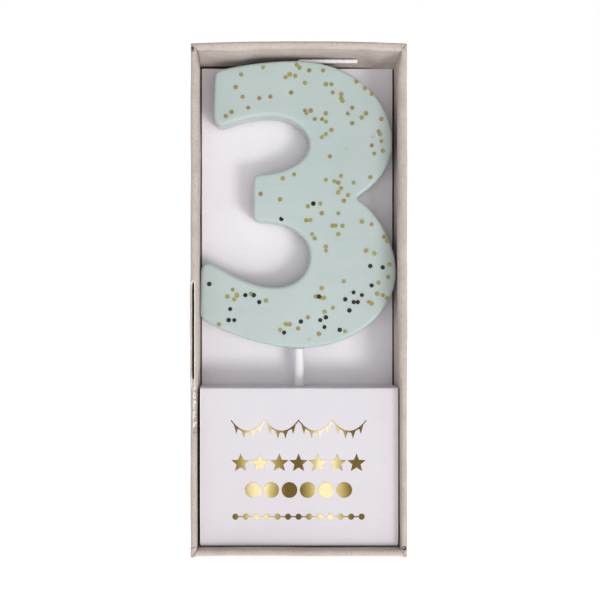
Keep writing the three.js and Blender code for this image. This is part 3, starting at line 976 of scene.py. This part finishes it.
def inside_and_far(px, pz, outline):
    """For many points at once: is it inside the outline, and how far from it."""
    a, b = outline, np.roll(outline, -1, 0)
    inside = np.zeros(len(px), bool)
    far = np.full(len(px), 1e9)
    for (ax, az), (bx, bz) in zip(a, b):
        crosses = (az > pz) != (bz > pz)
        with np.errstate(divide="ignore", invalid="ignore"):
            at = (bx - ax) * (pz - az) / (bz - az) + ax
        inside ^= crosses & (px < at)
        length = (bx - ax) ** 2 + (bz - az) ** 2
        t = np.clip(((px - ax) * (bx - ax) + (pz - az) * (bz - az)) / max(length, 1e-12), 0, 1)
        far = np.minimum(far, np.hypot(px - ax - t * (bx - ax), pz - az - t * (bz - az)))
    return inside, far


def front_relief(x, z):
    """The wax face's gentle unevenness, out towards the viewer."""
    return 0.07 * rough(x, 0, z, 17, 1.1) + 0.025 * rough(x, 0, z, 5, 2.7)


def wax_figure():
    outline = rounded(figure_outline(0.62), 2)
    n = len(outline)
    turns = 7
    verts = []

    def ring(by, y, relief):
        loop = inset(outline, by) if by > 1e-6 else outline
        for x, z in loop:
            verts.append((x, y - relief * front_relief(x, z), z))

    for k in range(turns, -1, -1):  # front edge, from the face round to the side
        a = math.pi / 2 * k / turns
        ring(EDGE_R * (1 - math.cos(a)), wax_lo[1] + EDGE_R * (1 - math.sin(a)), k / turns)
    for y in steps(wax_lo[1] + EDGE_R, wax_hi[1] - EDGE_R, 1.1)[1:-1]:
        for i, (x, z) in enumerate(outline):
            push = 0.05 * rough(x, y, z, 6, 3.9) - 0.02
            verts.append((x + push * 0.5, y, z + push * 0.5))
    for k in range(turns + 1):  # back edge
        a = math.pi / 2 * k / turns
        ring(EDGE_R * (1 - math.cos(a)), wax_hi[1] - EDGE_R * (1 - math.sin(a)), 0)
    rows = len(verts) // n
    faces = grid_faces(rows, n, loop=True)

    pitch = 1.25
    gx, gz = np.meshgrid(np.arange(wax_lo[0], wax_hi[0], pitch), np.arange(wax_lo[2], wax_hi[2], pitch))
    gx = gx + pitch / 2 * (np.arange(gx.shape[0]) % 2)[:, None]
    inside, far = inside_and_far(gx.ravel(), gz.ravel(), outline)
    keep = inside & (far > EDGE_R + 0.7)
    grid = list(zip(gx.ravel()[keep].tolist(), gz.ravel()[keep].tolist()))
    for first, front in ((0, True), ((rows - 1) * n, False)):
        loop = [(verts[first + i][0], verts[first + i][2]) for i in range(n)]
        points = [Vector(p) for p in loop + grid]
        edges = [(i, (i + 1) % n) for i in range(n)]
        flat, _, fill, *_ = geometry.delaunay_2d_cdt(points, edges, [], 1, 1e-5)
        spot = {}
        for k, p in enumerate(flat):
            if k < n:
                spot[k] = first + k
                continue
            y = wax_hi[1] - 0.04 * (1 + rough(p.x, 0, p.y, 9, 8.0))
            if front:
                y = wax_lo[1] - front_relief(p.x, p.y)
            verts.append((p.x, y, p.y))
            spot[k] = len(verts) - 1
        faces += [tuple(spot[k] for k in f) for f in fill]
    piece = mesh_piece("wax_number", verts, faces, "candle", "wax", wax, angle=60)
    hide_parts("wax_figure")


wax_figure()


# ---- pick ----
NECK_R = 1.75
BODY_R = (pick_hi[0] - pick_lo[0]) / 2
TIP_R = 0.6
POINT = 14.0
NECK = 12.0


def lathe(name, profile, slot, made, around=64, flute=0.0, flutes=0, angle=40):
    """A turned piece on the pick's axis. Flutes are fine ridges along it."""
    verts = []
    for r, z in profile:
        for k in range(around):
            a = 2 * math.pi * k / around
            rr = r * (1 + flute * math.cos(flutes * a)) if flutes else r
            verts.append((PICK_X + rr * math.cos(a), MID_Y + rr * math.sin(a), z))
    return mesh_piece(name, verts, tube_faces(len(profile), around), "candle", slot, made, angle=angle)


# A little wax drawn down the neck, as radius past the neck and height past the figure's foot.
COLLAR = [(1.1, 0.5), (0.75, 0.02), (0.42, -0.16), (0.2, -0.34), (0.05, -0.48), (-0.1, -0.5), (-0.1, 0.5)]
lathe("wax_collar", [(NECK_R + r, wax_lo[2] + z) for r, z in COLLAR], "wax", wax, angle=60)


def pick_profile():
    z0, z1 = pick_lo[2], pick_hi[2]
    profile = [(0.12, z0), (TIP_R * 0.6, z0 + 0.05), (TIP_R * 0.92, z0 + 0.25), (TIP_R, z0 + 0.6)]
    for t in steps(0, 1, 0.1)[1:]:
        r = TIP_R + (BODY_R - TIP_R) * (t + 0.12 * math.sin(math.pi * t)) * 0.999
        profile.append((r, z0 + 0.6 + (POINT - 0.6) * t))
    start = wax_lo[2] - NECK
    profile += [(BODY_R, z) for z in steps(z0 + POINT, start, 4.0)[1:]]
    for t in steps(0, 1, 0.12)[1:]:
        profile.append((BODY_R + (NECK_R - BODY_R) * smooth(0, 1, t), start + NECK * t))
    profile += [(NECK_R, z) for z in steps(wax_lo[2], z1 - 0.3, 3.0)[1:]] + [(NECK_R - 0.25, z1)]
    return profile


pick = lathe("pick_moulded", pick_profile(), "pick_plastic", plastic, around=72, flute=0.006, flutes=12)
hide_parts("pick")

# ---- wick ----
WICK_R = (wick_hi[1] - wick_lo[1]) / 2
run_z = wick_hi[2] - WICK_R
wick_x = wick_lo[0] + WICK_R
BEND_R = 1.2


def wick_path():
    points = [Vector((wick_x, MID_Y, z)) for z in steps(wax_hi[2] - 1.2, run_z - BEND_R, 0.25)]
    for k in range(1, 9):
        a = math.pi / 2 * k / 9
        x, z = wick_x + BEND_R * (1 - math.cos(a)), run_z - BEND_R + BEND_R * math.sin(a)
        points.append(Vector((x, MID_Y, z)))
    points += [Vector((x, MID_Y, run_z)) for x in steps(wick_x + BEND_R, wick_hi[0], 0.14)]
    return points


def braided_wick():
    path, around = wick_path(), 40
    verts, gone = [], 0.0
    for k, p in enumerate(path):
        d = (path[min(k + 1, len(path) - 1)] - path[max(k - 1, 0)]).normalized()
        side = Vector((0, 1, 0))
        up = side.cross(d).normalized()
        if k:
            gone += (p - path[k - 1]).length
        left = (path[-1] - p).length
        sway = 0.05 * math.sin(gone / 3.1) * smooth(0, 6, gone)
        for j in range(around):
            a = 2 * math.pi * j / around
            plait = max(math.cos(3 * a + gone * 2.6), math.cos(3 * a - gone * 2.6))
            r = WICK_R * (0.945 + 0.045 * plait)
            r *= 1 + 0.03 * rough(math.cos(a), math.sin(a), gone, 0.5, 4.0)
            r *= 1 - 0.06 * bell(left, 0.25)
            r = min(r, WICK_R)
            verts.append(tuple(p + side * r * math.cos(a) + up * (r * math.sin(a) + sway * 0.4)))
    tip = path[-1]
    for share, depth in ((0.8, 0.02), (0.5, 0.10), (0.2, 0.06)):
        for j in range(around):
            a = 2 * math.pi * j / around
            r = WICK_R * 0.9 * share * (1 + 0.1 * rough(math.cos(a) * 3, math.sin(a) * 3, 0, 1, 2.0))
            fray = 0.06 * rough(math.cos(a) * 4, math.sin(a) * 4, share * 5, 1, 7.0)
            verts.append((tip.x - depth + fray, MID_Y + r * math.cos(a), run_z + r * math.sin(a)))
    faces = tube_faces(len(verts) // around, around)
    piece = mesh_piece("wick_plaited", verts, faces, "wick", "wick_cotton", cotton, angle=60)
    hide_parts("wick")


braided_wick()

# ---- sequins ----
# Places on the figure's drawing, in millimetres across from its middle and up from its foot.
BRIGHT = [
    (-0.5, 102), (0.5, 101), (4, 100), (9, 100), (-12.5, 101), (-20.5, 98.5), (-4.5, 97.5), (-3, 98.5),
    (-1, 98), (-22.5, 94), (2.5, 95.5), (10, 95), (12, 95), (21, 96), (24, 93.5), (26.5, 91.5), (-20, 90.5),
    (-14, 90), (-10, 90.5), (-2.5, 92), (12.5, 92), (15.5, 91.5), (15.5, 90), (16, 89), (-18, 86.5),
    (-24, 85), (-26, 83.5), (2.5, 85.5), (3, 84.5), (4.5, 85.5), (6, 82.5), (8.5, 82.5), (10, 81.5),
    (10, 84.5), (12, 78.5), (10, 77), (8.5, 76), (19.5, 86.5), (18, 84.5), (24.5, 84.5), (23, 83),
    (19.5, 81), (30, 82.5), (29, 78), (29.5, 77), (30, 74.5), (26.5, 73), (30.5, 71), (27.5, 70),
    (11.5, 69), (-1.5, 62.5), (-5.5, 61), (15.5, 62), (26, 61.5), (10, 60.5), (13, 60), (14.5, 59.5),
    (20, 59.5), (15.5, 57.5), (14.5, 56), (-13.5, 55.5), (-6.5, 53.5), (18, 55), (16.5, 53), (8, 52),
    (3.5, 51), (8.5, 48.5), (14.5, 48.5), (3, 46), (4.5, 46), (12.5, 44), (13.5, 44), (16, 44), (14.5, 41),
    (23, 45.5), (26.5, 44.5), (31, 40), (32, 38.5), (5, 41), (6, 39.5), (10, 36.5), (10, 35), (24.5, 35),
    (27.5, 34), (33, 30), (32.5, 25.5), (29, 23.5), (16.5, 24), (8.5, 21.5), (6.5, 18.5), (8.5, 18),
    (9.5, 18), (28.5, 19.5), (30.5, 19), (32, 18), (25.5, 16.5), (26.5, 16), (12.5, 14.5), (9.5, 13),
    (3.5, 11), (-4.5, 8.5), (-3, 8.5), (-6.5, 6.5), (0, 7), (17, 6), (7.5, 5), (-23.5, 21), (-25.5, 18.5),
    (-22, 19), (-23, 17.5), (-17, 19.5), (-11.5, 17), (-28.5, 8.5),
]
# Sequins that mirror something dark, coloured near black: a painted reflection.
BLACK_REFLECTIONS = [
    (5.5, 52), (-6, 46.5), (26, 29.5), (30.5, 29), (26.5, 22.5), (7.5, 18.5), (20, 20), (23, 19),
    (17, 17.5), (20, 16.5), (21.5, 16.5), (18.5, 13.5), (10, 11), (8, 10), (9.5, 7.5), (1, 9.5), (-5, 5.5),
    (15, 6.5), (-32, 23), (-19, 19), (-16, 19), (-14, 16.5), (-24.5, 14), (-25, 10), (-23, 10),
]
SUNK = [(4, 3), (27, 76), (17.5, 71.5), (25.5, 35.5)]
SEQUIN_R = centre_of("sequin_1")[2]
SEQUIN_LIFT = 0.03
dice = random.Random(17)


def sequins(name, places, made, size, *nodes):
    """Thin discs, each a little tilted and of its own size."""
    verts, faces = [], []
    around = 20
    for cx, cz in places:
        x, z = figure_x(cx), figure_z(cz)
        r = SEQUIN_R * size * dice.uniform(0.9, 1.06)
        slope_x, slope_z = dice.uniform(-0.05, 0.05), dice.uniform(-0.05, 0.05)
        lifted = SEQUIN_LIFT + dice.uniform(0.0, 0.035)
        y = wax_lo[1] - front_relief(x, z) - lifted
        start = len(verts)
        for share, drop in ((1.0, 0.10), (1.0, 0.012), (0.93, 0.0), (0.6, 0.006)):
            for k in range(around):
                a = 2 * math.pi * k / around
                px, pz = r * share * math.cos(a), r * share * math.sin(a)
                verts.append((x + px, y + drop + slope_x * px + slope_z * pz, z + pz))
        faces += grid_faces(4, around, start, loop=True)
        verts.append((x, y + 0.01, z))
        top, last = start + 3 * around, len(verts) - 1
        faces += [(top + k, top + (k + 1) % around, last) for k in range(around)]
        faces.append(tuple(start + k for k in range(around)))
    piece = mesh_piece(name, verts, faces, "candle", "sequin_gold", made, angle=30)
    if nodes:
        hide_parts(*nodes)


tints = {"gold": [], "olive": [], "orange": []}
for place in BRIGHT:
    tints[dice.choices(list(tints), [5, 5, 2])[0]].append(place)
sequins("sequins_gold", tints["gold"], sequin_gold, 1.0, *nodes_named("sequin_"))
sequins("sequins_olive", tints["olive"], sequin_olive, 0.98)
sequins("sequins_orange", tints["orange"], sequin_orange, 0.95)
sequins("dark_reflection_sequins", BLACK_REFLECTIONS, dark_reflection_sequin, 0.98)
sequins("sequins_under_wax", SUNK, sequin_sunk, 0.8)

# ---- floor, light and view ----
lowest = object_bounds()[0].z
floor_mesh = bpy.data.meshes.new("floor")
bm = bmesh.new()
bmesh.ops.create_grid(bm, x_segments=8, y_segments=8, size=4.0)
bm.to_mesh(floor_mesh)
bm.free()
floor = bpy.data.objects.new("floor", floor_mesh)
scene.collection.objects.link(floor)
floor.location = (0, 0, lowest)
pale = new_material("floor_pale", (0.93, 0.93, 0.93), 0.9)
shader_of(pale).inputs["Emission Color"].default_value = (1, 1, 1, 1)
shader_of(pale).inputs["Emission Strength"].default_value = 0.52
floor_mesh.materials.append(pale)
floor.visible_shadow = False  # the key light comes from lower than the floor


def soft_light(name, place, aim, size, power):
    """A rectangular light, in metres and watts."""
    data = bpy.data.lights.new(name, "AREA")
    data.shape = "RECTANGLE"
    data.size, data.size_y = size
    data.energy = power
    light = bpy.data.objects.new(name, data)
    scene.collection.objects.link(light)
    light.location = place
    light.rotation_euler = (Vector(aim) - Vector(place)).to_track_quat("-Z", "Y").to_euler()


soft_light("key", (0.56, -0.96, -0.40), (0, 0, 0.1), (0.36, 0.3), 5.2)
soft_light("fill", (0.05, -1.2, 0.1), (0, 0, 0.11), (0.8, 0.3), 1.2)

# A plain white room, bright behind the object and dimmer in front of it.
world = bpy.data.worlds.new("room")
scene.world = world
world.use_nodes = True
tree = world.node_tree
background = tree.nodes["Background"]
direction = tree.nodes.new("ShaderNodeTexCoord")
split = tree.nodes.new("ShaderNodeVectorMath")
split.operation = "DOT_PRODUCT"
split.inputs[1].default_value = (0.28, 0.93, -0.22)
tree.links.new(direction.outputs["Generated"], split.inputs[0])
shade = tree.nodes.new("ShaderNodeMapRange")
for socket, value in (("From Min", -0.35), ("From Max", 0.35), ("To Min", 0.42), ("To Max", 1.0)):
    shade.inputs[socket].default_value = value
tree.links.new(split.outputs["Value"], shade.inputs["Value"])
tree.links.new(shade.outputs["Result"], background.inputs["Strength"])
background.inputs["Color"].default_value = (1, 1, 1, 1)

scene.view_settings.view_transform = "Standard"
scene.view_settings.look = "None"
